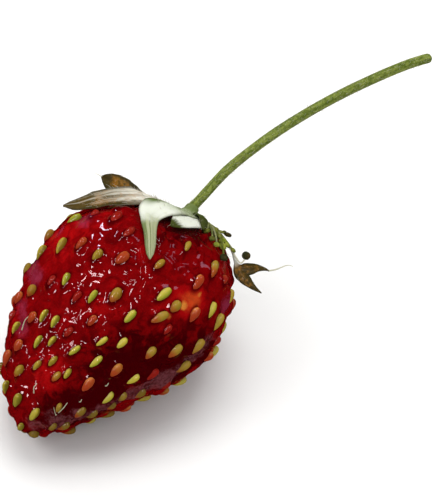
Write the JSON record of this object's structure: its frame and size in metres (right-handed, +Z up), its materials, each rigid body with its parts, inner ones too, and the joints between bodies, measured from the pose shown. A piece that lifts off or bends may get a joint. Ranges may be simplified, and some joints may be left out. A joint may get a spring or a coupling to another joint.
{
  "type": "strawberry",
  "caption": "Picked wild strawberry lying on its side: conical fruit with raised achenes, withered calyx, dried stamens and an arching cut stalk.",
  "frame": {"origin": "middle of the small flat on which the fruit lies, on the surface", "axes": "+Z up, +X level from the fruit's tip to its calyx and on along the stalk, +Y across the fruit"},
  "size_m": [0.0443, 0.0171, 0.0167],
  "materials": {
    "fruit": "wet glossy red flesh, from bright red to maroon, with lime to orange achenes",
    "calyx": "matt, withered and hairy: silvery green, beige and olive brown",
    "stalk": "satin olive green with fine pale hairs",
    "stamens": "matt, dried, olive brown"
  },
  "bodies": {
    "root": {"fruit": "fruit", "calyx": "calyx", "stalk": "stalk", "stamens": "stamens"}
  },
  "joints": []
}
